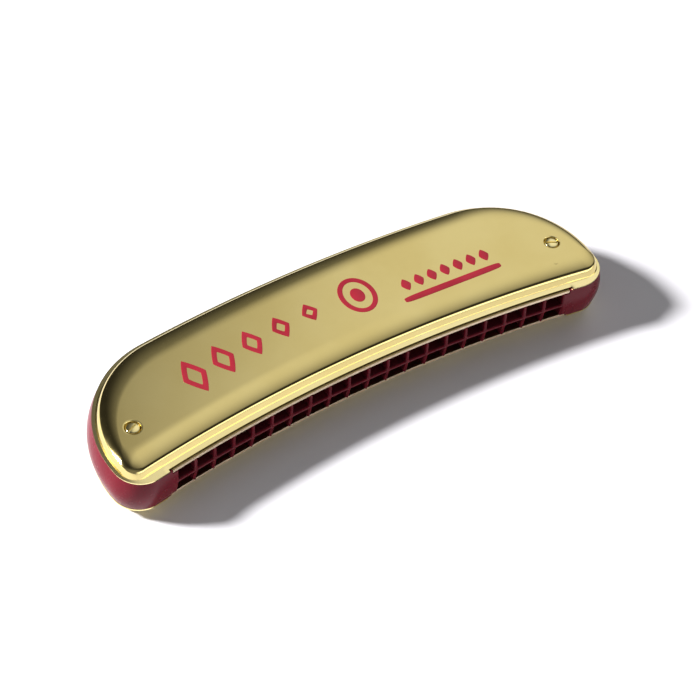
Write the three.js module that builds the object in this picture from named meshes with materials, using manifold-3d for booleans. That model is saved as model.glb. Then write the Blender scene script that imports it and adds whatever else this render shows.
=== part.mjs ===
// A curved octave harmonica: one moulded comb with two rows of air chambers, two slotted reed plates
// with one free reed over each chamber, two pressed covers, and the screws that hold them together.
// Millimetres, +Z up. The mouth edge faces -Y, and the back of the instrument faces +Y.
import * as THREE from "three";
import { mergeVertices } from "three/addons/utils/BufferGeometryUtils.js";
import Module from "manifold-3d";

const wasm = await Module();
wasm.setup();

// ---------------------------------------------------------------- driving dimensions
const ARC_RADIUS = 466; // the mouth edge's curve in plan, hollow towards the player
const COLUMNS = 20; // double holes, so 40 reeds
const HOLE_PITCH = 6.5; // along the mouth edge
const HOLE_WIDTH = 5.5;
const DIVIDER_HEIGHT = 1.0; // the bar between the two rows of holes
const SHEET_GAP = 0.05; // clearance between clamped flat faces

const PLATE_HALF_LENGTH = 66.4; // along the mouth edge, from the middle
const PLATE_DEPTH = 30.8; // from mouth edge to back edge
const PLATE_THICKNESS = 0.95;
const PLATE_TOP = 5.4; // above the comb's middle plane, level with the comb's ends

const COVER_HALF_LENGTH = 80.3;
const COVER_BACK = 39.5; // depth of the cover's back rim behind the mouth edge
const COVER_CORNER = 8; // front corner radius in plan
const COVER_SHOULDER = 31.7; // back corner radius in plan
const COVER_TOP = 9.7;
const SHEET = 0.5; // cover sheet thickness
const FRONT_FLANGE = 3.0; // the dome starts this far behind the mouth edge
const SIDE_FLANGE = 1.1; // rim width on the ends and back
const DOME_ROLL = 6.5; // plan width of the rolled shoulder
const DOME_SQUARENESS = 2.4; // 2 is an ellipse, more is squarer
const NOTCH_HALF_LENGTH = 67.4; // the flange steps back here to show the plate's edge
const NOTCH_DEPTH = 0.75;

const COMB_BACK = 31.2; // back wall of the comb between its end blocks
const COMB_END_START = 57; // the end blocks reach the covers' back corners beyond this station
const NOSE = 0.6; // how far the mouth edge bulges at the middle plane
const END_BULGE = 1.35; // how far the ends bulge past the covers at the middle plane

const REED_THICKNESS = 0.2;
const REED_GAP = 0.13; // between a reed's root pad and its plate
const REED_SIDE_CLEARANCE = 0.15;
const REED_PAD = 2.6; // root pad length and width
const REEDS = {
  upper: { longest: 17, shortest: 9.5 },
  lower: { longest: 13.5, shortest: 7.5 },
};
const REED_WIDTH_LOW = 2.4;
const REED_WIDTH_HIGH = 1.9;
const DRAW_ROOT_DEPTH = 6.2; // draw reeds are rooted near the mouth edge
const CHAMBER_PAST_REED = 8.5; // a chamber runs this much deeper than its long reed

const SCREW_X = 69.9;
const SCREW_Y = 10.3;
const SCREW_SHANK = 1.0; // M2
const SCREW_HEAD = 1.95;
const DIMPLE = 2.45;
const DIMPLE_DEPTH = 0.7;
const BOSS_RADIUS = 3.0;
const PLATE_SCREW_STATIONS = [-56, -28, 0, 28, 56];
const PLATE_SCREW_DEPTH = 29.2;
const PLATE_SCREW_SHANK = 0.6;
const PLATE_SCREW_HEAD = 1.2;
const PLATE_SCREW_LENGTH = 3.2;

// derived sizes
const HALF_HEIGHT = COVER_TOP;
const PLATE_UNDER = PLATE_TOP - PLATE_THICKNESS;
const SEAT = PLATE_UNDER - SHEET_GAP;
const FLANGE_UNDER = PLATE_TOP + SHEET_GAP;
const FLANGE_TOP = FLANGE_UNDER + SHEET;
const DIMPLE_FLOOR = COVER_TOP - DIMPLE_DEPTH;
const DIMPLE_UNDER = DIMPLE_FLOOR - 0.4;

// ---------------------------------------------------------------- materials
const finish = (color, roughness, metalness) =>
  new THREE.MeshStandardMaterial({ color, roughness, metalness });
const gold = finish(0xcbb26a, 0.16, 1.0);
const brass = finish(0xd9bd82, 0.35, 1.0);
const reedBrass = finish(0xc79a4b, 0.3, 1.0);
const redPlastic = finish(0x8e1f3a, 0.28, 0.0);

// ---------------------------------------------------------------- plan geometry
// A point at station s along the mouth edge and depth n behind it.
function at(s, n) {
  const angle = s / ARC_RADIUS;
  const reach = ARC_RADIUS + n;
  return new THREE.Vector2(reach * Math.sin(angle), reach * Math.cos(angle) - ARC_RADIUS);
}

function arcPoints(centre, radius, from, to, steps) {
  return Array.from({ length: steps + 1 }, (_, i) => {
    const a = from + ((to - from) * i) / steps;
    return new THREE.Vector2(centre.x + radius * Math.cos(a), centre.y + radius * Math.sin(a));
  });
}

const ARC_CENTRE = new THREE.Vector2(0, -ARC_RADIUS);

// Centre of the back corner circle: it touches the front corner circle and the back arc from inside.
function shoulderCentre(cornerCentre, gap, reach) {
  const across = cornerCentre.clone().sub(ARC_CENTRE);
  const span = across.length();
  const along = (reach ** 2 - gap ** 2 + span ** 2) / (2 * span);
  const aside = Math.sqrt(reach ** 2 - along ** 2);
  const unit = across.normalize();
  return new THREE.Vector2(
    ARC_CENTRE.x + unit.x * along - unit.y * aside,
    ARC_CENTRE.y + unit.y * along + unit.x * aside,
  );
}

// The instrument's kidney-shaped outline, counter-clockwise: hollow front arc, front corners,
// large back corners and a full back arc, all tangent to each other.
function outline({ front, back, half, corner, shoulder }) {
  const cornerX = half - corner;
  const cornerReach = ARC_RADIUS + front + corner;
  const cornerCentre = new THREE.Vector2(
    cornerX,
    Math.sqrt(cornerReach ** 2 - cornerX ** 2) - ARC_RADIUS,
  );
  const backCentre = shoulderCentre(
    cornerCentre,
    shoulder - corner,
    ARC_RADIUS + back - shoulder,
  );
  const frontAngle = cornerCentre.clone().sub(ARC_CENTRE).angle();
  const backAngle = backCentre.clone().sub(ARC_CENTRE).angle();
  const between = cornerCentre.clone().sub(backCentre);
  const endAngle = Math.atan2(between.y, between.x);
  const right = [
    ...arcPoints(ARC_CENTRE, ARC_RADIUS + front, Math.PI / 2, frontAngle, 12),
    ...arcPoints(cornerCentre, corner, frontAngle - Math.PI, endAngle, 8).slice(1),
    ...arcPoints(backCentre, shoulder, endAngle, backAngle, 10).slice(1),
    ...arcPoints(ARC_CENTRE, ARC_RADIUS + back, backAngle, Math.PI / 2, 10).slice(1),
  ];
  const left = right
    .slice(1, -1)
    .reverse()
    .map((p) => new THREE.Vector2(-p.x, p.y));
  return [...right, ...left];
}

// A closed solid through a stack of outlines with equal point counts.
function loft(sections) {
  const count = sections[0].points.length;
  const positions = sections.flatMap(({ points, z }) => points.flatMap((p) => [p.x, p.y, z]));
  const index = [];
  for (let k = 0; k + 1 < sections.length; k++) {
    for (let i = 0; i < count; i++) {
      const a = k * count + i;
      const b = k * count + ((i + 1) % count);
      index.push(a, b, b + count, a, b + count, a + count);
    }
  }
  const top = (sections.length - 1) * count;
  for (const [a, b, c] of THREE.ShapeUtils.triangulateShape(sections[0].points, []))
    index.push(a, c, b);
  for (const [a, b, c] of THREE.ShapeUtils.triangulateShape(sections.at(-1).points, []))
    index.push(top + a, top + b, top + c);
  const geometry = new THREE.BufferGeometry();
  geometry.setAttribute("position", new THREE.Float32BufferAttribute(positions, 3));
  geometry.setIndex(index);
  return geometry;
}

const prism = (points, low, high) =>
  loft([
    { points, z: low },
    { points, z: high },
  ]);

// A block that follows the mouth edge's curve.
function curvedBlock({ s0, s1, n0, n1, low, high, steps = 24 }) {
  const walk = (n, from, to) =>
    Array.from({ length: steps + 1 }, (_, i) => at(from + ((to - from) * i) / steps, n));
  return prism([...walk(n0, s0, s1), ...walk(n1, s1, s0)], low, high);
}

// A flat shape drawn across (u) and along (v) the depth line of station s.
function radialPrism(s, corners, low, high) {
  const angle = s / ARC_RADIUS;
  const points = corners.map(([u, v]) => {
    const base = at(s, v);
    return new THREE.Vector2(base.x + u * Math.cos(angle), base.y - u * Math.sin(angle));
  });
  return prism(points, low, high);
}

const radialBox = (s, width, n0, n1, low, high) =>
  radialPrism(
    s,
    [
      [-width / 2, n0],
      [width / 2, n0],
      [width / 2, n1],
      [-width / 2, n1],
    ],
    low,
    high,
  );

// ---------------------------------------------------------------- joining and cutting
function solid(geometry) {
  const bare = geometry.clone();
  for (const name of ["normal", "uv"]) bare.deleteAttribute(name);
  const merged = mergeVertices(bare, 1e-5);
  return new wasm.Manifold(
    new wasm.Mesh({
      numProp: 3,
      vertProperties: new Float32Array(merged.attributes.position.array),
      triVerts: new Uint32Array(merged.index.array),
    }),
  );
}

function geometryOf(manifold) {
  const mesh = manifold.getMesh();
  const geometry = new THREE.BufferGeometry();
  geometry.setAttribute("position", new THREE.Float32BufferAttribute(mesh.vertProperties, 3));
  geometry.setIndex(new THREE.Uint32BufferAttribute(mesh.triVerts, 1));
  return geometry;
}

const cut = (body, tools) => tools.reduce((left, tool) => left.subtract(solid(tool)), body);
const join = (body, pieces) => pieces.reduce((all, piece) => all.add(solid(piece)), body);

// The same shape on the other side of the comb's middle plane.
function flipped(geometry) {
  const copy = geometry.clone().scale(1, 1, -1);
  const index = copy.index.array;
  for (let i = 0; i < index.length; i += 3) [index[i + 1], index[i + 2]] = [index[i + 2], index[i + 1]];
  return copy;
}

// A turned shape: profile points are [radius, height], standing at (x, y).
function turned(profile, x, y, segments = 24) {
  const geometry = new THREE.LatheGeometry(
    profile.map(([r, z]) => new THREE.Vector2(r, z)),
    segments,
  );
  return geometry.rotateX(Math.PI / 2).translate(x, y, 0);
}

const cylinder = (radius, low, high, x, y, segments = 24) =>
  turned(
    [
      [0, low],
      [radius, low],
      [radius, high],
      [0, high],
    ],
    x,
    y,
    segments,
  );

// ---------------------------------------------------------------- stations and reeds
const range = (count) => Array.from({ length: count }, (_, i) => i);
const mix = (from, to, column) => from + ((to - from) * column) / (COLUMNS - 1);
const station = (column) => (column - (COLUMNS - 1) / 2) * HOLE_PITCH;
const isBlow = (column) => column % 2 === 0;
const reedWidth = (column) => mix(REED_WIDTH_LOW, REED_WIDTH_HIGH, column);
const reedLength = (side, column) => mix(REEDS[side].longest, REEDS[side].shortest, column);
const chamberDepth = (column) => reedLength("upper", column) + CHAMBER_PAST_REED;

// Where a reed is rooted, and which way its tongue points: -1 towards the mouth, +1 to the back.
function reedPlace(column) {
  return isBlow(column)
    ? { root: chamberDepth(column) - 2.2, way: -1 }
    : { root: DRAW_ROOT_DEPTH, way: 1 };
}

function slotCutter(side, column) {
  const { root, way } = reedPlace(column);
  const start = root + (way * REED_PAD) / 2;
  const end = start + way * (reedLength(side, column) + REED_SIDE_CLEARANCE);
  const width = reedWidth(column) + 2 * REED_SIDE_CLEARANCE;
  return radialBox(
    station(column),
    width,
    Math.min(start, end),
    Math.max(start, end),
    PLATE_UNDER - 1,
    PLATE_TOP + 1,
  );
}

// One reed: a square root pad and a tapering tongue. Blow reeds lie inside the chamber and
// draw reeds outside it, under the cover.
function reed(side, column) {
  const { root, way } = reedPlace(column);
  const pad = REED_PAD / 2;
  const tip = pad + reedLength(side, column);
  const wide = reedWidth(column) / 2;
  const narrow = wide * 0.86;
  const corners = [
    [-pad, -pad],
    [pad, -pad],
    [pad, pad],
    [wide, pad],
    [narrow, tip],
    [-narrow, tip],
    [-wide, pad],
    [-pad, pad],
  ].map(([u, v]) => [u * way, root + v * way]);
  const low = isBlow(column) ? PLATE_UNDER - REED_GAP - REED_THICKNESS : PLATE_TOP + REED_GAP;
  return radialPrism(station(column), corners, low, low + REED_THICKNESS);
}

// ---------------------------------------------------------------- reed plates
function reedPlate(side) {
  const blank = curvedBlock({
    s0: -PLATE_HALF_LENGTH,
    s1: PLATE_HALF_LENGTH,
    n0: 0,
    n1: PLATE_DEPTH,
    low: PLATE_UNDER,
    high: PLATE_TOP,
    steps: 26,
  });
  const slots = range(COLUMNS).map((column) => slotCutter(side, column));
  const holes = PLATE_SCREW_STATIONS.map((s) => {
    const p = at(s, PLATE_SCREW_DEPTH);
    return cylinder(PLATE_SCREW_SHANK + 0.25, PLATE_UNDER - 1, PLATE_TOP + 1, p.x, p.y, 12);
  });
  const bossNotches = [-SCREW_X, SCREW_X].map((x) =>
    cylinder(BOSS_RADIUS + 0.25, PLATE_UNDER - 1, PLATE_TOP + 1, x, SCREW_Y),
  );
  return geometryOf(cut(solid(blank), [...slots, ...holes, ...bossNotches]));
}

// ---------------------------------------------------------------- comb
// How much of the side bulge shows at height z: none at the plates, all at the middle plane.
const bulge = (z, reach) => 1 - (Math.abs(z) / reach) ** 1.9;

function combOutline(z) {
  const share = bulge(z, PLATE_TOP);
  return outline({
    front: -NOSE * share,
    back: COVER_BACK - 0.1 + END_BULGE * share,
    half: COVER_HALF_LENGTH - 0.1 + END_BULGE * share,
    corner: COVER_CORNER + share,
    shoulder: COVER_SHOULDER + END_BULGE * share,
  });
}

function comb() {
  const heights = [-1, -0.82, -0.6, -0.35, -0.12, 0.12, 0.35, 0.6, 0.82, 1].map((k) => k * PLATE_TOP);
  const blank = loft(heights.map((z) => ({ points: combOutline(z), z })));
  const backCut = curvedBlock({
    s0: -COMB_END_START,
    s1: COMB_END_START,
    n0: COMB_BACK,
    n1: 60,
    low: -20,
    high: 20,
  });
  const seat = curvedBlock({
    s0: -PLATE_HALF_LENGTH - 0.2,
    s1: PLATE_HALF_LENGTH + 0.2,
    n0: -5,
    n1: PLATE_DEPTH + 0.2,
    low: SEAT,
    high: 20,
  });
  const chambers = range(COLUMNS).map((column) =>
    radialBox(
      station(column),
      HOLE_WIDTH,
      -5,
      chamberDepth(column),
      DIVIDER_HEIGHT / 2,
      PLATE_TOP + 1,
    ),
  );
  const pilotHoles = PLATE_SCREW_STATIONS.map((s) => {
    const p = at(s, PLATE_SCREW_DEPTH);
    const bottom = PLATE_TOP - PLATE_SCREW_LENGTH - 0.4;
    return cylinder(PLATE_SCREW_SHANK + 0.1, bottom, PLATE_TOP + 1, p.x, p.y, 12);
  });
  const upperTools = [seat, ...chambers, ...pilotHoles];
  const block = cut(solid(blank), [backCut, ...upperTools, ...upperTools.map(flippedTool)]);
  const bosses = [-SCREW_X, SCREW_X].map((x) =>
    cylinder(BOSS_RADIUS, -DIMPLE_UNDER + SHEET_GAP, DIMPLE_UNDER - SHEET_GAP, x, SCREW_Y),
  );
  const bores = [-SCREW_X, SCREW_X].map((x) => cylinder(SCREW_SHANK + 0.3, -20, 20, x, SCREW_Y));
  return geometryOf(cut(join(block, bosses), bores));
}

function flippedTool(geometry) {
  const merged = geometry.index ? geometry : mergeVertices(geometry);
  return flipped(merged);
}

// ---------------------------------------------------------------- covers
// The dome's outline, drawn in from its foot by inset.
function domeOutline(inset) {
  return outline({
    front: FRONT_FLANGE + inset,
    back: COVER_BACK - SIDE_FLANGE - inset,
    half: COVER_HALF_LENGTH - SIDE_FLANGE - inset,
    corner: COVER_CORNER - SIDE_FLANGE - 0.8 * inset,
    shoulder: COVER_SHOULDER - SIDE_FLANGE - inset,
  });
}

// Sections of the dome from foot to plateau, following a squared quarter ellipse.
function domeSections(inset, drop) {
  const rise = COVER_TOP - FLANGE_TOP;
  const power = 2 / DOME_SQUARENESS;
  const rolls = [0, 12, 26, 42, 58, 74, 90].map((degrees) => {
    const angle = THREE.MathUtils.degToRad(degrees);
    const along = DOME_ROLL * (1 - Math.max(Math.cos(angle), 0) ** power);
    return {
      points: domeOutline(along + inset),
      z: FLANGE_TOP + rise * Math.sin(angle) ** power - drop,
    };
  });
  return [{ points: domeOutline(inset), z: FLANGE_UNDER - 1 }, ...rolls];
}

function upperCover() {
  const rim = prism(
    outline({
      front: 0,
      back: COVER_BACK,
      half: COVER_HALF_LENGTH,
      corner: COVER_CORNER,
      shoulder: COVER_SHOULDER,
    }),
    FLANGE_UNDER,
    FLANGE_TOP,
  );
  const belowRim = curvedBlock({ s0: -120, s1: 120, n0: -40, n1: 90, low: -5, high: FLANGE_UNDER });
  const notch = curvedBlock({
    s0: -NOTCH_HALF_LENGTH,
    s1: NOTCH_HALF_LENGTH,
    n0: -5,
    n1: NOTCH_DEPTH,
    low: FLANGE_UNDER - 1,
    high: FLANGE_TOP + 1,
  });
  const screwXs = [-SCREW_X, SCREW_X];
  const pans = screwXs.map((x) =>
    cylinder(BOSS_RADIUS, DIMPLE_UNDER, COVER_TOP - SHEET + 0.1, x, SCREW_Y),
  );
  const dimples = screwXs.map((x) =>
    turned(
      [
        [0, DIMPLE_FLOOR],
        [SCREW_HEAD + 0.15, DIMPLE_FLOOR],
        [DIMPLE, COVER_TOP + 0.01],
        [DIMPLE, COVER_TOP + 1],
        [0, COVER_TOP + 1],
      ],
      x,
      SCREW_Y,
    ),
  );
  const holes = screwXs.map((x) => cylinder(SCREW_SHANK + 0.25, 0, COVER_TOP + 1, x, SCREW_Y));
  const shell = join(solid(rim), [loft(domeSections(0, 0))]);
  const hollow = cut(shell, [belowRim, loft(domeSections(SHEET, SHEET)), notch]);
  return geometryOf(cut(join(hollow, pans), [...dimples, ...holes]));
}

// ---------------------------------------------------------------- fasteners
// Slotted head, seated in the cover's dimple, on a shank that reaches the nut below.
function coverScrew(x) {
  const seat = DIMPLE_FLOOR + SHEET_GAP;
  const profile = [
    [0, -COVER_TOP + 0.15],
    [SCREW_SHANK - 0.2, -COVER_TOP + 0.15],
    [SCREW_SHANK, -COVER_TOP + 0.35],
    [SCREW_SHANK, seat],
    [SCREW_HEAD, seat],
    [SCREW_HEAD, COVER_TOP - 0.3],
    [SCREW_HEAD * 0.8, COVER_TOP - 0.1],
    [SCREW_HEAD * 0.4, COVER_TOP - 0.02],
    [0, COVER_TOP],
  ];
  return slotted(turned(profile, x, SCREW_Y), x, COVER_TOP - 0.3, COVER_TOP + 1, SCREW_HEAD);
}

// Round slotted nut in the lower cover's dimple.
function coverNut(x) {
  const seat = -DIMPLE_FLOOR - SHEET_GAP;
  const bore = SCREW_SHANK + 0.15;
  const profile = [
    [bore, -COVER_TOP + 0.08],
    [SCREW_HEAD - 0.25, -COVER_TOP + 0.08],
    [SCREW_HEAD, -COVER_TOP + 0.3],
    [SCREW_HEAD, seat],
    [bore, seat],
    [bore, -COVER_TOP + 0.08],
  ];
  return slotted(turned(profile, x, SCREW_Y), x, -COVER_TOP - 1, -COVER_TOP + 0.35, SCREW_HEAD);
}

// Cuts a screwdriver slot across a round part that stands at (x, SCREW_Y).
function slotted(geometry, x, low, high, radius) {
  const blade = new THREE.BoxGeometry(2 * radius + 1, 0.55, high - low);
  blade.rotateZ(THREE.MathUtils.degToRad(x < 0 ? 58 : 20));
  blade.translate(x, SCREW_Y, (low + high) / 2);
  return geometryOf(cut(solid(geometry), [blade]));
}

function plateScrew(s) {
  const p = at(s, PLATE_SCREW_DEPTH);
  const under = PLATE_TOP + SHEET_GAP;
  const profile = [
    [0, PLATE_TOP - PLATE_SCREW_LENGTH],
    [PLATE_SCREW_SHANK * 0.5, PLATE_TOP - PLATE_SCREW_LENGTH + 0.3],
    [PLATE_SCREW_SHANK, PLATE_TOP - PLATE_SCREW_LENGTH + 0.9],
    [PLATE_SCREW_SHANK, under],
    [PLATE_SCREW_HEAD, under],
    [PLATE_SCREW_HEAD, under + 0.35],
    [PLATE_SCREW_HEAD * 0.6, under + 0.6],
    [0, under + 0.7],
  ];
  return turned(profile, p.x, p.y, 14);
}

// ---------------------------------------------------------------- assembly
const harmonica = new THREE.Group();

function add(name, geometry, material) {
  const mesh = new THREE.Mesh(geometry, material);
  mesh.name = name;
  harmonica.add(mesh);
}

const twoDigits = (number) => String(number).padStart(2, "0");

add("comb", comb(), redPlastic);
const cover = upperCover();
add("upper_cover", cover, gold);
add("lower_cover", flipped(cover), gold);
add("upper_reed_plate", reedPlate("upper"), brass);
add("lower_reed_plate", flipped(reedPlate("lower")), brass);
for (const column of range(COLUMNS)) {
  const number = twoDigits(column + 1);
  add(`reed_upper_${number}`, reed("upper", column), reedBrass);
  add(`reed_lower_${number}`, flipped(reed("lower", column)), reedBrass);
}
for (const [end, x] of [
  ["left", -SCREW_X],
  ["right", SCREW_X],
]) {
  add(`cover_screw_${end}`, coverScrew(x), gold);
  add(`cover_nut_${end}`, coverNut(x), gold);
}
PLATE_SCREW_STATIONS.forEach((s, i) => {
  const screw = mergeVertices(plateScrew(s).deleteAttribute("normal").deleteAttribute("uv"), 1e-5);
  add(`upper_plate_screw_${i + 1}`, screw, brass);
  add(`lower_plate_screw_${i + 1}`, flipped(screw), brass);
});

// The origin is on the resting face, under the middle of the whole outline.
const frontCornerY = Math.min(...combOutline(0).map((p) => p.y));
harmonica.position.set(0, -(frontCornerY + COVER_BACK) / 2, HALF_HEIGHT);

export default harmonica;
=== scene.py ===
"""A gold-covered curved octave harmonica on a white table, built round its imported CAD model.

Plan geometry is worked in millimetres: s runs along the curved mouth edge, n is the depth behind it,
and z is the height above the comb's middle plane. put() turns that into the row frame in metres.
"""
import math

import bmesh
import bpy
from mathutils import Matrix, Vector, geometry


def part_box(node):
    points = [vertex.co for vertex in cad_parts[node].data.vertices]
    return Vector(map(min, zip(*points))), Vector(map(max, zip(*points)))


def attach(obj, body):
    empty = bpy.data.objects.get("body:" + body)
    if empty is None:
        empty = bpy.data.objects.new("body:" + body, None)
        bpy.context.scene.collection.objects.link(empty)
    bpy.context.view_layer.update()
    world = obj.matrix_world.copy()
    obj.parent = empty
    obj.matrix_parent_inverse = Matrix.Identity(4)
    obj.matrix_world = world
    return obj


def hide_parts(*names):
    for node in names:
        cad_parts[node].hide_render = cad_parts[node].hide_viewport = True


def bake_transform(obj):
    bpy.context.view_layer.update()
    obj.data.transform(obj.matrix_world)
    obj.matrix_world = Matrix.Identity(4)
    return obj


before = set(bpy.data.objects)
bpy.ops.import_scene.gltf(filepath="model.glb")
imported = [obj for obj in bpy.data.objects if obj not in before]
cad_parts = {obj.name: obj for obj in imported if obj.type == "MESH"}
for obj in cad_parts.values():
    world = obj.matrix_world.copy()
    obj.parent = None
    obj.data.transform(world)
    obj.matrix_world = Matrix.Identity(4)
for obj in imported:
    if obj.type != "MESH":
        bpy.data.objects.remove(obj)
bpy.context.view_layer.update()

MM = 0.001

# ---------------------------------------------------------------- sizes shared with the CAD, in mm
ARC_RADIUS = 466
COLUMNS = 20
HOLE_PITCH = 6.5
HOLE_WIDTH = 5.5
DIVIDER = 1.0
PLATE_HALF_LENGTH = 66.4
PLATE_DEPTH = 30.8
PLATE_TOP = 5.4
PLATE_UNDER = 4.45
COVER_HALF_LENGTH = 80.3
COVER_BACK = 39.5
COVER_CORNER = 8
COVER_SHOULDER = 31.7
COVER_TOP = 9.7
FLANGE_TOP = 5.95
SIDE_FLANGE = 1.1
NOTCH_STATION = 67.4
COMB_BACK = 31.2
COMB_END_START = 57
NOSE = 0.6
END_BULGE = 1.35
REED_THICKNESS = 0.2
REED_GAP = 0.13
REED_PAD = 2.6
REED_LENGTHS = {"upper": (17, 9.5), "lower": (13.5, 7.5)}
REED_WIDTHS = (2.4, 1.9)
DRAW_ROOT_DEPTH = 6.2
CHAMBER_PAST_REED = 8.5
SCREW_X = 69.9
SCREW_Y = 10.3
DIMPLE = 2.45
DIMPLE_RING = DIMPLE + 0.35

# The CAD centres the whole outline on the origin, so its row frame is shifted back by this much.
DEPTH_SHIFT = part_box("comb")[0][1] / MM + COVER_BACK


# ---------------------------------------------------------------- plan geometry
def put(x, y, z):
    return Vector((x, y - DEPTH_SHIFT, z + COVER_TOP)) * MM


def at(s, n):
    angle = s / ARC_RADIUS
    reach = ARC_RADIUS + n
    return Vector((reach * math.sin(angle), reach * math.cos(angle) - ARC_RADIUS))


def arc(centre, radius, start, end, steps):
    angles = [start + (end - start) * i / steps for i in range(steps + 1)]
    return [centre + radius * Vector((math.cos(a), math.sin(a))) for a in angles]


def heading(v):
    return math.atan2(v.y, v.x)


ARC_CENTRE = Vector((0, -ARC_RADIUS))


def outline(front, back, half, corner, shoulder, notch=0.0):
    """The kidney outline, counter-clockwise, always with the same number of points."""
    corner_x = half - corner
    corner_reach = ARC_RADIUS + front + corner
    corner_centre = Vector((corner_x, math.sqrt(corner_reach**2 - corner_x**2) - ARC_RADIUS))
    across = corner_centre - ARC_CENTRE
    gap = shoulder - corner
    reach = ARC_RADIUS + back - shoulder
    along = (reach**2 - gap**2 + across.length_squared) / (2 * across.length)
    aside = math.sqrt(reach**2 - along**2)
    unit = across.normalized()
    back_centre = ARC_CENTRE + unit * along + Vector((-unit.y, unit.x)) * aside
    front_angle = heading(across)
    back_angle = heading(back_centre - ARC_CENTRE)
    end_angle = heading(corner_centre - back_centre)
    last_station = (math.pi / 2 - front_angle) * ARC_RADIUS
    stations = [NOTCH_STATION * i / 60 for i in range(61)]
    after = [NOTCH_STATION + 0.12, NOTCH_STATION + 1.4, NOTCH_STATION + 2.7, last_station]
    right = [at(s, front + notch) for s in stations] + [at(s, front) for s in after]
    right += arc(corner_centre, corner, front_angle - math.pi, end_angle, 28)[1:]
    right += arc(back_centre, shoulder, end_angle, back_angle, 44)[1:]
    right += arc(ARC_CENTRE, ARC_RADIUS + back, back_angle, math.pi / 2, 56)[1:]
    left = [Vector((-p.x, p.y)) for p in reversed(right[1:-1])]
    return right + left


# ---------------------------------------------------------------- mesh helpers
def make_piece(name, mesh, material, body="instrument", smooth=True):
    piece = bpy.data.objects.new(name, mesh)
    bpy.context.scene.collection.objects.link(piece)
    piece.data.materials.append(material)
    for face in piece.data.polygons:
        face.use_smooth = smooth
    if body:
        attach(piece, body)
    return piece


def mesh_from(bm, name):
    mesh = bpy.data.meshes.new(name)
    bmesh.ops.recalc_face_normals(bm, faces=bm.faces)
    bm.to_mesh(mesh)
    bm.free()
    return mesh


def add_rings(bm, rings):
    """Joins rings of equal length with quads and returns the rings of vertices."""
    made = [[bm.verts.new(p) for p in ring] for ring in rings]
    for low, high in zip(made, made[1:]):
        count = len(low)
        for i in range(count):
            j = (i + 1) % count
            bm.faces.new((low[i], low[j], high[j], high[i]))
    return made


def sharpen(piece, degrees):
    """Keeps edges above this angle crisp and shades the rest smooth."""
    bm = bmesh.new()
    bm.from_mesh(piece.data)
    limit = math.radians(degrees)
    for edge in bm.edges:
        edge.smooth = not (len(edge.link_faces) == 2 and edge.calc_face_angle(0) > limit)
    bm.to_mesh(piece.data)
    bm.free()


def apply_modifiers(piece):
    depsgraph = bpy.context.evaluated_depsgraph_get()
    baked = bpy.data.meshes.new_from_object(piece.evaluated_get(depsgraph))
    piece.modifiers.clear()
    piece.data = baked


def mirrored(mesh, name):
    """The same mesh turned over about the comb's middle plane."""
    copy = mesh.copy()
    copy.name = name
    middle = COVER_TOP * MM
    copy.transform(Matrix.Translation((0, 0, middle)) @ Matrix.Scale(-1, 4, (0, 0, 1))
                   @ Matrix.Translation((0, 0, -middle)))
    copy.flip_normals()
    return copy


# ---------------------------------------------------------------- materials
def new_material(name, **inputs):
    material = bpy.data.materials.new(name)
    material.use_nodes = True
    shader = material.node_tree.nodes["Principled BSDF"]
    for key, value in inputs.items():
        shader.inputs[key.replace("_", " ")].default_value = value
    return material, material.node_tree, shader


def node(tree, kind, **settings):
    made = tree.nodes.new(kind)
    for key, value in settings.items():
        setattr(made, key, value)
    return made


def noise(tree, scale, detail=3.0, stretch=None):
    coordinates = node(tree, "ShaderNodeTexCoord")
    texture = node(tree, "ShaderNodeTexNoise")
    texture.inputs["Scale"].default_value = scale
    texture.inputs["Detail"].default_value = detail
    source = coordinates.outputs["Object"]
    if stretch:
        mapping = node(tree, "ShaderNodeMapping")
        mapping.inputs["Scale"].default_value = stretch
        tree.links.new(source, mapping.inputs["Vector"])
        source = mapping.outputs["Vector"]
    tree.links.new(source, texture.inputs["Vector"])
    return texture.outputs["Fac"]


def ramp(tree, factor, low, high, start=0.35, end=0.65):
    made = node(tree, "ShaderNodeValToRGB")
    first, last = made.color_ramp.elements
    first.position, last.position = start, end
    first.color, last.color = low, high
    tree.links.new(factor, made.inputs["Fac"])
    return made.outputs["Color"]


def spread(tree, factor, low, high):
    made = node(tree, "ShaderNodeMapRange")
    made.inputs["To Min"].default_value = low
    made.inputs["To Max"].default_value = high
    tree.links.new(factor, made.inputs["Value"])
    return made.outputs["Result"]


def bump(tree, shader, height, strength, distance):
    made = node(tree, "ShaderNodeBump")
    made.inputs["Strength"].default_value = strength
    made.inputs["Distance"].default_value = distance
    tree.links.new(height, made.inputs["Height"])
    tree.links.new(made.outputs["Normal"], shader.inputs["Normal"])


def gold_plate(name, low, high, roughness):
    material, tree, shader = new_material(name, Metallic=1.0)
    tree.links.new(ramp(tree, noise(tree, 45), low, high), shader.inputs["Base Color"])
    haze = spread(tree, noise(tree, 420, 5), roughness - 0.03, roughness + 0.03)
    tree.links.new(haze, shader.inputs["Roughness"])
    bump(tree, shader, noise(tree, 90, 1), 0.04, 0.0002)
    return material


def milled_brass(name, low, high, roughness):
    material, tree, shader = new_material(name, Metallic=1.0)
    grain = noise(tree, 900, 2, (1, 14, 1))
    tree.links.new(ramp(tree, grain, low, high), shader.inputs["Base Color"])
    tree.links.new(spread(tree, grain, roughness - 0.06, roughness + 0.06), shader.inputs["Roughness"])
    bump(tree, shader, grain, 0.12, 0.00003)
    return material


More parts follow.
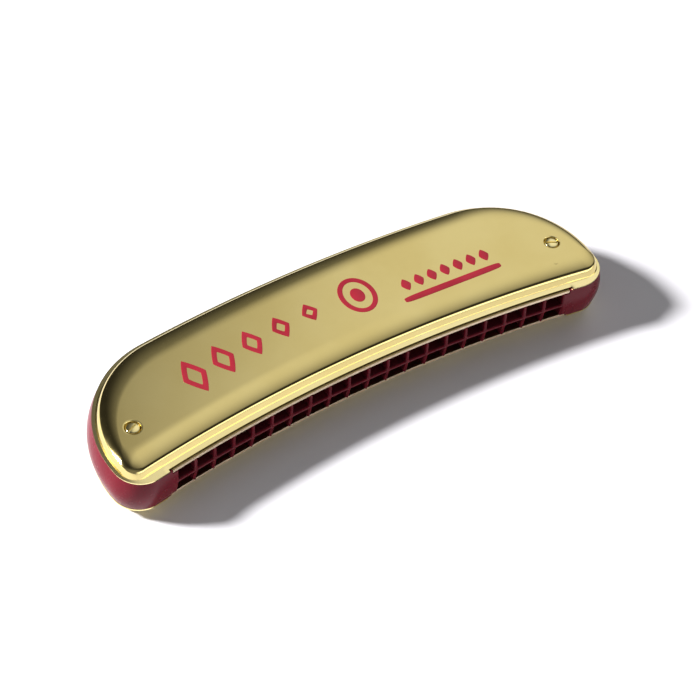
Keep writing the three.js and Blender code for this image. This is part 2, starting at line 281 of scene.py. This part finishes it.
def moulded_plastic(name, low, high, roughness, specular):
    material, tree, shader = new_material(name, IOR=1.5, Specular_IOR_Level=specular)
    tree.links.new(ramp(tree, noise(tree, 140, 4), low, high), shader.inputs["Base Color"])
    haze = spread(tree, noise(tree, 700, 3), roughness - 0.05, roughness + 0.05)
    tree.links.new(haze, shader.inputs["Roughness"])
    bump(tree, shader, noise(tree, 260, 2), 0.05, 0.0001)
    return material


def table_top():
    material, tree, shader = new_material("table_top", Roughness=0.9, Specular_IOR_Level=0.05)
    tone = ramp(tree, noise(tree, 3, 2), (0.80, 0.785, 0.82, 1), (0.82, 0.805, 0.84, 1))
    tree.links.new(tone, shader.inputs["Base Color"])
    return material


GOLD = gold_plate("gold_plate", (0.69, 0.555, 0.215, 1), (0.73, 0.60, 0.25, 1), 0.12)
# A brighter copy of the cover gold: a painted highlight on the flange, and also the gold of the screws and
# nuts.
GOLD_RIM = gold_plate("gold_rim", (0.93, 0.78, 0.34, 1), (0.97, 0.84, 0.42, 1), 0.16)
PLATE_BRASS = milled_brass("plate_brass", (0.34, 0.25, 0.11, 1), (0.44, 0.33, 0.15, 1), 0.32)
# A paler copy of the plate brass: a painted highlight on the plates' front edge, and also the brass of the
# plate screws.
PALE_BRASS = milled_brass("pale_brass", (0.86, 0.68, 0.47, 1), (0.95, 0.79, 0.58, 1), 0.42)
REED_BRASS = milled_brass("reed_brass", (0.66, 0.46, 0.20, 1), (0.78, 0.58, 0.30, 1), 0.30)
RED_PLASTIC = moulded_plastic(
    "red_plastic", (0.118, 0.005, 0.012, 1), (0.134, 0.007, 0.015, 1), 0.26, 0.16)
# A darker red for the chamber walls: painted shade for the hollows.
CHAMBER_SHADE_RED = moulded_plastic(
    "chamber_painted_shade", (0.050, 0.002, 0.006, 1), (0.075, 0.004, 0.009, 1), 0.50, 0.15)
ENAMEL = moulded_plastic("red_enamel", (0.26, 0.010, 0.022, 1), (0.30, 0.014, 0.028, 1), 0.40, 0.25)

# ---------------------------------------------------------------- covers
# The flange and the dome's section are drawn closer to the real pressing than in the CAD.
SHEET = 0.42
FRONT_FLANGE = 2.35
FLANGE_RISE = 0.12
NOTCH_DEPTH = 0.8
WALL_SLOPE = math.radians(40)
WALL_LENGTH = 2.35
SHOULDER_SLOPE = math.radians(23)
SHOULDER_LENGTH = 5.6
PROFILE_LENGTH = 9.4
PROFILE_STEPS = 52
DOME_CORNER = 4.8
CORNER_SHRINK = 0.34
BACK_STRETCH = 1.05
END_STRETCH = 0.50


def dome_profile(rise):
    """(inset, height) from the dome's foot to its plateau: a steep wall, then a long easing shoulder."""
    def slope(u):
        wall = WALL_SLOPE * math.exp(-((u / WALL_LENGTH) ** 8))
        shoulder = SHOULDER_SLOPE * math.exp(-((u / SHOULDER_LENGTH) ** 2))
        fade = max(0, 1 - (u / PROFILE_LENGTH) ** 4)
        return (wall + shoulder) * fade

    step = PROFILE_LENGTH / PROFILE_STEPS
    points = [(0.0, 0.0)]
    for i in range(PROFILE_STEPS):
        angle = slope((i + 0.5) * step)
        x, z = points[-1]
        points.append((x + step * math.cos(angle), z + step * math.sin(angle)))
    height = points[-1][1]
    return [(x, z * rise / height) for x, z in points]


def dome_outline(inset):
    return outline(
        front=FRONT_FLANGE + inset,
        back=COVER_BACK - SIDE_FLANGE - BACK_STRETCH * inset,
        half=COVER_HALF_LENGTH - SIDE_FLANGE - END_STRETCH * inset,
        corner=DOME_CORNER - CORNER_SHRINK * inset,
        shoulder=COVER_SHOULDER - SIDE_FLANGE - END_STRETCH * inset,
    )


def rim_outline(inset):
    return outline(
        front=inset,
        back=COVER_BACK - inset,
        half=COVER_HALF_LENGTH - inset,
        corner=COVER_CORNER - inset,
        shoulder=COVER_SHOULDER - inset,
        notch=NOTCH_DEPTH,
    )


def between(a, b, share):
    return [p.lerp(q, share) for p, q in zip(a, b)]


def circle(x, y, radius, count=48):
    return [Vector((x + radius * math.cos(math.tau * i / count), y + radius * math.sin(math.tau * i / count)))
            for i in range(count)]


def fill_plateau(bm, ring, height):
    """Fills the plateau inside the last ring with small triangles, leaving a round hole for each screw."""
    edge = [Vector((v.co.x / MM, v.co.y / MM + DEPTH_SHIFT)) for v in ring]
    holes = [circle(x, SCREW_Y, DIMPLE_RING) for x in (-SCREW_X, SCREW_X)]
    points = list(edge)
    hole_points = range(len(edge), len(edge) + sum(len(hole) for hole in holes))
    loops = [list(range(len(edge)))]
    for hole in holes:
        loops.append(list(range(len(points), len(points) + len(hole))))
        points += hole
    lines = [(loop[i], loop[(i + 1) % len(loop)]) for loop in loops for i in range(len(loop))]
    for i in range(-36, 37):
        for j in range(5, 16):
            p = at(i * 2.0, j * 2.2)
            near_hole = any(
                (p - Vector((x, SCREW_Y))).length < DIMPLE_RING + 0.6 for x in (-SCREW_X, SCREW_X))
            if not near_hole and is_inside(p, edge, 1.2):
                points.append(p)
    flat, _, faces, origins, _, _ = geometry.delaunay_2d_cdt(points, lines, [], 0, 1e-4)
    verts = {}
    for i, p in enumerate(flat):
        source = origins[i][0] if origins[i] else -1
        verts[i] = ring[source] if 0 <= source < len(ring) else bm.verts.new(put(p.x, p.y, height))
    for face in faces:
        middle = sum((flat[i] for i in face), Vector((0, 0))) / len(face)
        in_hole = all(origins[i] and origins[i][0] in hole_points for i in face)
        if not in_hole and is_inside(middle, edge, 0):
            bm.faces.new([verts[i] for i in face])
    starts = [len(edge), len(edge) + len(holes[0])]
    back = {o: i for i, source in enumerate(origins) for o in source}
    return [[verts[back[start + k]] for k in range(len(holes[0]))] for start in starts]


def is_inside(p, polygon, margin):
    """True if p is inside the polygon and further than the margin from its corners."""
    inside = False
    nearest = 1e9
    for a, b in zip(polygon, polygon[1:] + polygon[:1]):
        if (a.y > p.y) != (b.y > p.y) and p.x < (b.x - a.x) * (p.y - a.y) / (b.y - a.y) + a.x:
            inside = not inside
        if margin:
            nearest = min(nearest, (p - a).length)
    return inside and nearest > margin


DIMPLE_PROFILE = [(2.60, 0.0), (2.42, -0.02), (2.36, -0.09), (2.28, -0.22), (2.20, -0.42), (2.14, -0.58),
                  (2.06, -0.67), (1.9, -0.70), (1.3, -0.70)]


def cover_mesh(name):
    bm = bmesh.new()
    rim = rim_outline(0)
    foot = dome_outline(0)
    rings = [[put(p.x, p.y, FLANGE_TOP - 0.02 + FLANGE_RISE * t) for p in between(rim, foot, t)]
             for t in (0.0, 0.06, 0.3, 0.6, 0.86, 0.95)]
    base = FLANGE_TOP - 0.02 + FLANGE_RISE
    profile = dome_profile(COVER_TOP - base)
    rings += [[put(p.x, p.y, base + z) for p in dome_outline(x)] for x, z in profile]
    made = add_rings(bm, rings)
    lips = fill_plateau(bm, made[-1], COVER_TOP)
    for lip, x in zip(lips, (-SCREW_X, SCREW_X)):
        last = lip
        for radius, drop in DIMPLE_PROFILE:
            ring = [bm.verts.new(put(p.x, p.y, COVER_TOP + drop)) for p in circle(x, SCREW_Y, radius)]
            for i in range(len(ring)):
                j = (i + 1) % len(ring)
                bm.faces.new((last[i], last[j], ring[j], ring[i]))
            last = ring
    return mesh_from(bm, name)


def paint_flange_highlight(piece):
    """Gives the flat rim outside the dome a brighter copy of the gold: a painted highlight for the bright
    reflection the flange shows.
    """
    piece.data.materials.append(GOLD_RIM)
    for face in piece.data.polygons:
        if abs(face.center.z / MM - COVER_TOP) < FLANGE_TOP + 0.11:
            face.material_index = 1


def add_covers():
    upper = make_piece("cover_upper_pressing", cover_mesh("cover_upper_pressing"), GOLD)
    solid = upper.modifiers.new("sheet", "SOLIDIFY")
    solid.thickness = SHEET * MM
    solid.offset = -1
    solid.use_even_offset = True
    solid.use_quality_normals = True
    apply_modifiers(upper)
    lower = make_piece("cover_lower_pressing", mirrored(upper.data, "cover_lower_pressing"), GOLD)
    lower.data.materials.clear()
    lower.data.materials.append(GOLD)
    for piece, cad in ((upper, "upper_cover"), (lower, "lower_cover")):
        paint_flange_highlight(piece)
        sharpen(piece, 42)
        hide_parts(cad)


# ---------------------------------------------------------------- comb
def comb_outline(z):
    share = 1 - (abs(z) / PLATE_TOP) ** 1.9
    return outline(
        front=-NOSE * share,
        back=COVER_BACK - 0.1 + END_BULGE * share,
        half=COVER_HALF_LENGTH - 0.1 + END_BULGE * share,
        corner=COVER_CORNER + share,
        shoulder=COVER_SHOULDER + END_BULGE * share,
    )


def nose_depth(z):
    return -NOSE * (1 - min(abs(z) / PLATE_TOP, 1) ** 1.9)


def chamber_depth(column):
    longest, shortest = REED_LENGTHS["upper"]
    return longest + (shortest - longest) * column / (COLUMNS - 1) + CHAMBER_PAST_REED


def station(column):
    return (column - (COLUMNS - 1) / 2) * HOLE_PITCH


def closed_tube(bm, rings):
    made = add_rings(bm, rings)
    bm.faces.new(made[0])
    bm.faces.new(made[-1])


def chamber_ring(s, inset, flare, side):
    """One cross-section of a chamber cutter, at a depth measured from the comb's own curved front."""
    half = HOLE_WIDTH / 2 + flare
    floor = DIVIDER / 2 - flare
    corner = 0.35
    shape = [(-half, 6.2), (-half, floor + corner)]
    shape += [(-half + corner * (1 - math.cos(a)), floor + corner * (1 - math.sin(a)))
              for a in (math.radians(30), math.radians(60))]
    shape += [(-half + corner, floor), (half - corner, floor)]
    shape += [(half - corner * (1 - math.sin(a)), floor + corner * (1 - math.cos(a)))
              for a in (math.radians(30), math.radians(60))]
    shape += [(half, floor + corner), (half, 6.2)]
    ring = []
    for u, z in shape:
        surface = nose_depth(z) if inset < 3 else 0
        p = at(s + u * ARC_RADIUS / (ARC_RADIUS + 6), surface + inset)
        ring.append(put(p.x, p.y, side * z))
    return ring


MOUTH_FLARE = [(-1.5, 0.49), (0.0, 0.44), (0.08, 0.30), (0.20, 0.17), (0.36, 0.07), (0.55, 0.0)]


def comb_cutters():
    bm = bmesh.new()
    for column in range(COLUMNS):
        for side in (-1, 1):
            stations = MOUTH_FLARE + [(chamber_depth(column), 0.0)]
            closed_tube(bm, [chamber_ring(station(column), n, flare, side) for n, flare in stations])
    return mesh_from(bm, "cutters")


def curved_block(bm, s0, s1, n0, n1, low, high, steps=60):
    walk = [s0 + (s1 - s0) * i / steps for i in range(steps + 1)]
    edge = [at(s, n0) for s in walk] + [at(s, n1) for s in reversed(walk)]
    closed_tube(bm, [[put(p.x, p.y, z) for p in edge] for z in (low, high)])


def cut(piece, mesh):
    tool = bpy.data.objects.new("tool", mesh)
    bpy.context.scene.collection.objects.link(tool)
    boolean = piece.modifiers.new("cut", "BOOLEAN")
    boolean.operation = "DIFFERENCE"
    boolean.solver = "EXACT"
    boolean.object = tool
    apply_modifiers(piece)
    bpy.data.objects.remove(tool)


def add_comb():
    bm = bmesh.new()
    heights = [-PLATE_TOP + 2 * PLATE_TOP * i / 26 for i in range(27)]
    closed_tube(bm, [[put(p.x, p.y, z) for p in comb_outline(z)] for z in heights])
    comb = make_piece("comb_moulding", mesh_from(bm, "comb_moulding"), RED_PLASTIC)
    blocks = bmesh.new()
    curved_block(blocks, -COMB_END_START, COMB_END_START, COMB_BACK, 60, -20, 20)
    cut(comb, mesh_from(blocks, "back_cut"))
    for side in (-1, 1):
        seat = bmesh.new()
        low, high = sorted((side * (PLATE_UNDER - 0.05), side * 20))
        reach = PLATE_HALF_LENGTH + 0.2
        curved_block(seat, -reach, reach, -5, PLATE_DEPTH + 0.2, low, high)
        cut(comb, mesh_from(seat, "seat_cut"))
    cut(comb, comb_cutters())
    for polygon in comb.data.polygons:
        polygon.use_smooth = True
    paint_chamber_shade(comb)
    sharpen(comb, 40)
    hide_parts("comb")


def paint_chamber_shade(comb):
    """Gives the inner walls of the chambers a darker red, painted shade for the deep hollows, and a duller
    finish than the outside.
    """
    comb.data.materials.append(CHAMBER_SHADE_RED)
    for face in comb.data.polygons:
        x, y, z = face.center / MM
        depth = (Vector((x, y + DEPTH_SHIFT)) - ARC_CENTRE).length - ARC_RADIUS
        along = ARC_RADIUS * math.atan2(x, y + DEPTH_SHIFT + ARC_RADIUS)
        in_rows = abs(along) < COLUMNS * HOLE_PITCH / 2 and abs(z - COVER_TOP) < PLATE_UNDER - 0.1
        if in_rows and 0.75 < depth < COMB_BACK - 0.5:
            face.material_index = 1


# ---------------------------------------------------------------- reed plates
def reed_size(side, column):
    """(length, half width) of a reed's tongue."""
    share = column / (COLUMNS - 1)
    longest, shortest = REED_LENGTHS[side]
    low_width, high_width = REED_WIDTHS
    return longest + (shortest - longest) * share, (low_width + (high_width - low_width) * share) / 2


def reed_place(column):
    """(root depth, direction of the tongue): blow reeds point to the mouth, draw reeds to the back."""
    return (chamber_depth(column) - 2.2, -1) if column % 2 == 0 else (DRAW_ROOT_DEPTH, 1)


def across(s, u, n):
    """A point u to the side of station s's own depth line, at depth n."""
    angle = s / ARC_RADIUS
    return at(s, n) + u * Vector((math.cos(angle), -math.sin(angle)))


SLOT_CLEARANCE = 0.15
BOSS_CLEARANCE = 3.25
PLATE_EDGE = 0.09


def plate_blank(bm):
    steps = 160
    walk = [PLATE_HALF_LENGTH * (2 * i / steps - 1) for i in range(steps + 1)]
    soft = PLATE_EDGE
    rings = []
    for z, inset in ((PLATE_UNDER, soft), (PLATE_UNDER + soft, 0), (PLATE_TOP - soft, 0), (PLATE_TOP, soft)):
        edge = [at(s, inset) for s in walk] + [at(s, PLATE_DEPTH - inset) for s in reversed(walk)]
        rings.append([put(p.x, p.y, z) for p in edge])
    closed_tube(bm, rings)


def plate_cutters(side):
    bm = bmesh.new()
    for column in range(COLUMNS):
        length, half = reed_size(side, column)
        root, way = reed_place(column)
        start = root + way * REED_PAD / 2
        end = start + way * (length + SLOT_CLEARANCE)
        wide = half + SLOT_CLEARANCE
        corners = [(-wide, start), (wide, start), (wide, end), (-wide, end)]
        flat = [across(station(column), u, n) for u, n in corners]
        closed_tube(bm, [[put(p.x, p.y, z) for p in flat] for z in (PLATE_UNDER - 1, PLATE_TOP + 1)])
    for x in (-SCREW_X, SCREW_X):
        flat = circle(x, SCREW_Y, BOSS_CLEARANCE)
        closed_tube(bm, [[put(p.x, p.y, z) for p in flat] for z in (PLATE_UNDER - 1, PLATE_TOP + 1)])
    return mesh_from(bm, "plate_cutters")


def paint_edge_highlight(plate):
    """Gives the plate's curved front edge a paler copy of the plate brass: a painted highlight for the bright
    line that edge shows.
    """
    plate.data.materials.append(PALE_BRASS)
    for face in plate.data.polygons:
        if abs(face.normal.z) < 0.9 and face.center.y / MM + DEPTH_SHIFT < 12:
            depth = (Vector((face.center.x / MM, face.center.y / MM + DEPTH_SHIFT)) - ARC_CENTRE).length
            if depth - ARC_RADIUS < 0.2:
                face.material_index = 1


def add_plates():
    for side in ("upper", "lower"):
        bm = bmesh.new()
        plate_blank(bm)
        plate = make_piece(f"plate_{side}", mesh_from(bm, f"plate_{side}"), PLATE_BRASS, smooth=False)
        cut(plate, plate_cutters(side))
        if side == "lower":
            plate.data = mirrored(plate.data, "plate_lower")
        paint_edge_highlight(plate)
        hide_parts(f"{side}_reed_plate")


# ---------------------------------------------------------------- reeds
def turned(bm, centre, profile, segments=24):
    """A turned shape standing at a plan point: profile points are (radius, height), both ends on the axis."""
    rings = []
    for radius, z in profile:
        if radius == 0:
            rings.append([bm.verts.new(put(centre.x, centre.y, z))])
        else:
            ring = circle(centre.x, centre.y, radius, segments)
            rings.append([bm.verts.new(put(p.x, p.y, z)) for p in ring])
    for low, high in zip(rings, rings[1:]):
        for i in range(segments):
            j = (i + 1) % segments
            face = [low[i % len(low)], low[j % len(low)], high[j % len(high)], high[i % len(high)]]
            unique = list(dict.fromkeys(face))
            if len(unique) > 2:
                bm.faces.new(unique)


def reed_mesh(side, column, name):
    """A reed on the upper plate: broad pad, filed tongue and rivet head, as one mesh."""
    length, half = reed_size(side, column)
    root, way = reed_place(column)
    pad = REED_PAD / 2
    s = station(column)
    low = PLATE_UNDER - REED_GAP - REED_THICKNESS if way < 0 else PLATE_TOP + REED_GAP
    spine = [(-pad, pad), (-pad + 0.25, pad), (pad - 0.25, pad), (pad, pad * 0.97), (pad + 0.02, half)]
    spine += [(pad + length * i / 18, half * (1 - 0.14 * i / 18)) for i in range(1, 19)]
    rings = []
    for along, wide in spine:
        # The tongue thins towards its middle, where reeds are filed to tune them.
        share = max(0, (along - pad) / length)
        thin = REED_THICKNESS * (1 - 0.35 * math.sin(math.pi * min(share * 1.15, 1)))
        depth = root + way * along
        bottom = low if way > 0 else low + REED_THICKNESS - thin
        corners = ((-wide, bottom), (wide, bottom), (wide, bottom + thin), (-wide, bottom + thin))
        rings.append([put(*across(s, u, depth), z) for u, z in corners])
    bm = bmesh.new()
    closed_tube(bm, rings)
    outside = low - 0.02 if way < 0 else low + REED_THICKNESS + 0.02
    lift = -1 if way < 0 else 1
    head = [(0, outside - lift * 0.1), (0.62, outside - lift * 0.1), (0.62, outside + lift * 0.08),
            (0.5, outside + lift * 0.19), (0.28, outside + lift * 0.25), (0, outside + lift * 0.26)]
    turned(bm, at(s, root), head)
    return mesh_from(bm, name)


def add_reeds():
    for side in ("upper", "lower"):
        for column in range(COLUMNS):
            body = f"reed_{side}_{column + 1:02d}"
            name = f"tongue_{side}_{column + 1:02d}"
            mesh = reed_mesh(side, column, name)
            if side == "lower":
                mesh = mirrored(mesh, name)
            reed = make_piece(name, mesh, REED_BRASS, body=None)
            sharpen(reed, 35)
            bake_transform(reed)
            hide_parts(body)


# ---------------------------------------------------------------- screws and nuts
def slot_cutter(centre, degrees, low, high):
    bm = bmesh.new()
    turn = Matrix.Rotation(math.radians(degrees), 2)
    flat = [centre + turn @ Vector(p) for p in ((-3, -0.26), (3, -0.26), (3, 0.26), (-3, 0.26))]
    closed_tube(bm, [[put(p.x, p.y, z) for p in flat] for z in (low, high)])
    return mesh_from(bm, "slot")


SCREW_HEAD_PROFILE = [
    (0.95, -0.72), (1.78, -0.70), (1.88, -0.62), (1.93, -0.46), (1.90, -0.36), (1.80, -0.28),
    (1.6, -0.20), (1.3, -0.13), (0.9, -0.075), (0.45, -0.045), (0, -0.035),
]
SCREW_SLOT_TURN = {"left": 22, "right": -28}


def add_screws():
    for end, x in (("left", -SCREW_X), ("right", SCREW_X)):
        centre = Vector((x, SCREW_Y))
        for kind in ("screw", "nut"):
            name = f"fastener_{kind}_{end}"
            tip = 0.3 - 2 * COVER_TOP if kind == "screw" else -2.2
            shank = [(0, tip), (0.85, tip), (1.0, tip + 0.2), (1.0, -0.72)]
            bm = bmesh.new()
            turned(bm, centre, [(r, COVER_TOP + z) for r, z in shank + SCREW_HEAD_PROFILE], 64)
            piece = make_piece(name, mesh_from(bm, name), GOLD_RIM)
            cut(piece, slot_cutter(centre, SCREW_SLOT_TURN[end], COVER_TOP - 0.5, COVER_TOP + 1))
            if kind == "nut":
                piece.data = mirrored(piece.data, name)
            for face in piece.data.polygons:
                face.use_smooth = True
            sharpen(piece, 40)
            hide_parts(f"cover_{kind}_{end}")


# ---------------------------------------------------------------- painted pattern on the upper cover
INLAY_RISE = 0.05


def soft_shape(s, n, half_width, half_height, squareness, tilt=0.0, count=64):
    """A superellipse in plan: squareness 1 is a lozenge, 2 an ellipse, 6 a rounded bar."""
    points = []
    for i in range(count):
        angle = math.tau * (i + 0.5) / count
        c, d = math.cos(angle), math.sin(angle)
        u = half_width * math.copysign(abs(c) ** (2 / squareness), c)
        v = half_height * math.copysign(abs(d) ** (2 / squareness), d)
        aside = u * math.cos(tilt) - v * math.sin(tilt)
        behind = u * math.sin(tilt) + v * math.cos(tilt)
        points.append(across(s, aside, n + behind))
    return points


def inlay(bm, outer, inner=None):
    """A thin raised patch of enamel with softened edges; inner, if given, is a hole in it."""
    middle = sum(outer, Vector((0, 0))) / len(outer)
    top = COVER_TOP + INLAY_RISE
    sink = COVER_TOP - 0.1

    def loops(edge, grow):
        return [[middle + (p - middle) * (1 + grow * k) for p in edge] for k in (0.0, 0.006, 0.022)]

    sides = [[put(p.x, p.y, z) for p in ring]
             for ring, z in zip(loops(outer, -1), (top - 0.025, top - 0.008, top))]
    sides.insert(0, [put(p.x, p.y, sink) for p in outer])
    if inner:
        hole = [[put(p.x, p.y, z) for p in ring]
                for ring, z in zip(reversed(loops(inner, 1)), (top, top - 0.008, top - 0.025))]
        rings = sides + hole + [[put(p.x, p.y, sink) for p in inner]]
        add_rings(bm, rings + [rings[0]])
        bmesh.ops.remove_doubles(bm, verts=bm.verts, dist=1e-7)
    else:
        closed_tube(bm, sides)


def add_inlays():
    """A plain geometric pattern: shrinking lozenges, a ring with a dot, and diamonds over a bar."""
    lozenges = bmesh.new()
    for i in range(5):
        half_height = 6.3 - 0.75 * i
        s = -44.5 + 9.6 * i
        outer = soft_shape(s, 19.6 + 0.5 * i, 3.7 - 0.3 * i, half_height, 1.12)
        inner = soft_shape(s, 19.6 + 0.5 * i, 2.0 - 0.22 * i, half_height - 2.7 + 0.15 * i, 1.12)
        inlay(lozenges, outer, inner)
    ring = bmesh.new()
    inlay(ring, soft_shape(8.6, 20.5, 5.4, 6.6, 2), soft_shape(8.6, 20.5, 3.9, 5.1, 2))
    inlay(ring, soft_shape(8.6, 20.5, 2.0, 2.6, 2))
    bars = bmesh.new()
    inlay(bars, soft_shape(34.7, 12.6, 16.0, 1.05, 6, 0.02))
    for i in range(7):
        inlay(bars, soft_shape(22.4 + 4.2 * i, 17.6 + 0.1 * i, 1.5, 2.2, 1.3))
    for name, bm in (("inlay_lozenges", lozenges), ("inlay_ring", ring), ("inlay_bar", bars)):
        piece = make_piece(name, mesh_from(bm, name), ENAMEL)
        sharpen(piece, 50)
    dot = bmesh.new()
    profile = [(0, -0.4), (0.95, -0.4), (0.95, -0.18), (0.8, -0.10), (0.45, -0.07), (0, -0.06)]
    turned(dot, at(65.3, 8.2), [(r, COVER_TOP + z) for r, z in profile], 32)
    piece = make_piece("key_dot", mesh_from(dot, "key_dot"), GOLD)


add_covers()
add_comb()
add_plates()
add_reeds()
add_screws()
add_inlays()

for name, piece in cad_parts.items():
    if "plate_screw" in name:
        piece.data.materials.clear()
        piece.data.materials.append(PALE_BRASS)


# ---------------------------------------------------------------- table, light and camera
def add_table():
    bm = bmesh.new()
    bmesh.ops.create_grid(bm, x_segments=2, y_segments=2, size=4.0)
    table = make_piece("table", mesh_from(bm, "table"), table_top(), body=None)
    table.location.z = -0.00005


def look_at(obj, target):
    obj.rotation_mode = "QUATERNION"
    obj.rotation_quaternion = (Vector(target) - obj.location).to_track_quat("-Z", "Y")


def area_light(name, location, size, power):
    data = bpy.data.lights.new(name, "AREA")
    data.shape = "DISK"
    data.size = size
    data.energy = power
    light = bpy.data.objects.new(name, data)
    bpy.context.scene.collection.objects.link(light)
    light.location = location
    look_at(light, (0, 0, 0))


def compare(tree, socket, aim, start, end):
    """1 where the direction's dot product with aim is at least start, fading to 0 at end."""
    dot = node(tree, "ShaderNodeVectorMath", operation="DOT_PRODUCT")
    tree.links.new(socket, dot.inputs[0])
    dot.inputs[1].default_value = aim
    fade = node(tree, "ShaderNodeMapRange")
    fade.inputs["From Min"].default_value = end
    fade.inputs["From Max"].default_value = start
    tree.links.new(dot.outputs["Value"], fade.inputs["Value"])
    return fade.outputs["Result"]


def multiply(tree, a, b):
    made = node(tree, "ShaderNodeMath", operation="MULTIPLY")
    tree.links.new(a, made.inputs[0])
    if isinstance(b, float):
        made.inputs[1].default_value = b
    else:
        tree.links.new(b, made.inputs[1])
    return made.outputs["Value"]


def add(tree, a, b):
    made = node(tree, "ShaderNodeMath", operation="ADD")
    tree.links.new(a, made.inputs[0])
    tree.links.new(b, made.inputs[1])
    return made.outputs["Value"]


CEILING = {"aim": (0.52, 0.42, 0.745), "full": 0.0, "none": 46.0, "level": 0.92}
CEILING_EDGE = {"across": (0.766, -0.643, 0.0), "full": 0.0, "near": -0.13, "far": -0.55, "share": 0.70}
FRONT_FILL = {"aim": (-0.6, -0.7, 0.45), "full": 0.0, "none": 60.0, "level": 0.23}
HORIZON_BANDS = [
    # Bearing of a bright wall; bearing angles where it starts and ends fading; level; height in degrees.
    {"bearing": (0.42, -0.90), "full": 20, "none": 48, "level": 2.7, "top": 20},
    {"bearing": (-0.87, 0.49), "full": 20, "none": 48, "level": 1.7, "top": 22},
]
SKY_BASE = 0.028


def cosine(degrees):
    return math.cos(math.radians(degrees))


def add_sky():
    world = bpy.data.worlds.new("studio")
    bpy.context.scene.world = world
    world.use_nodes = True
    tree = world.node_tree
    direction = node(tree, "ShaderNodeTexCoord").outputs["Generated"]
    aim = Vector(CEILING["aim"]).normalized()
    patch = compare(tree, direction, aim, cosine(CEILING["full"]), cosine(CEILING["none"]))
    across_edge, full = CEILING_EDGE["across"], CEILING_EDGE["full"]
    near = compare(tree, direction, across_edge, full, CEILING_EDGE["near"])
    far = compare(tree, direction, across_edge, full, CEILING_EDGE["far"])
    share = CEILING_EDGE["share"]
    edge = add(tree, multiply(tree, near, share), multiply(tree, far, 1 - share))
    total = multiply(tree, multiply(tree, patch, edge), CEILING["level"])
    for band in HORIZON_BANDS:
        bearing = Vector((*band["bearing"], 0)).normalized()
        sideways = compare(tree, direction, bearing, cosine(band["full"]), cosine(band["none"]))
        top = math.sin(math.radians(band["top"]))
        low = compare(tree, direction, Vector((0, 0, -1)), -0.45 * top, -top)
        total = add(tree, total, multiply(tree, multiply(tree, sideways, low), band["level"]))
    fill_aim = Vector(FRONT_FILL["aim"]).normalized()
    fill = compare(tree, direction, fill_aim, cosine(FRONT_FILL["full"]), cosine(FRONT_FILL["none"]))
    total = add(tree, total, multiply(tree, fill, FRONT_FILL["level"]))
    base = node(tree, "ShaderNodeValue")
    base.outputs[0].default_value = SKY_BASE
    tree.links.new(add(tree, total, base.outputs[0]), tree.nodes["Background"].inputs["Color"])


CAMERA_AZIMUTH = math.radians(-40.856)
CAMERA_ELEVATION = math.radians(49.903)
CAMERA_ROLL = math.radians(9.109)
CAMERA_DISTANCE = 706.23


def add_camera():
    data = bpy.data.cameras.new("camera")
    data.sensor_width = 36
    data.lens = 130.64
    data.shift_x = -0.0257
    data.shift_y = 0.0402
    camera = bpy.data.objects.new("camera", data)
    bpy.context.scene.collection.objects.link(camera)
    bpy.context.scene.camera = camera
    az, el, roll = CAMERA_AZIMUTH, CAMERA_ELEVATION, CAMERA_ROLL
    out = Vector((math.sin(az) * math.cos(el), -math.cos(az) * math.cos(el), math.sin(el)))
    level = Vector((math.cos(az), math.sin(az), 0))
    rise = out.cross(level)
    right = math.cos(roll) * level + math.sin(roll) * rise
    up = math.cos(roll) * rise - math.sin(roll) * level
    turn = Matrix((right, up, out)).transposed().to_4x4()
    camera.matrix_world = Matrix.Translation(put(0, 0, 0) + out * CAMERA_DISTANCE * MM) @ turn


add_table()
add_sky()
area_light("key", (-0.92, 0.60, 0.745), 0.22, 44)
add_camera()
bpy.context.scene.view_settings.view_transform = "Standard"
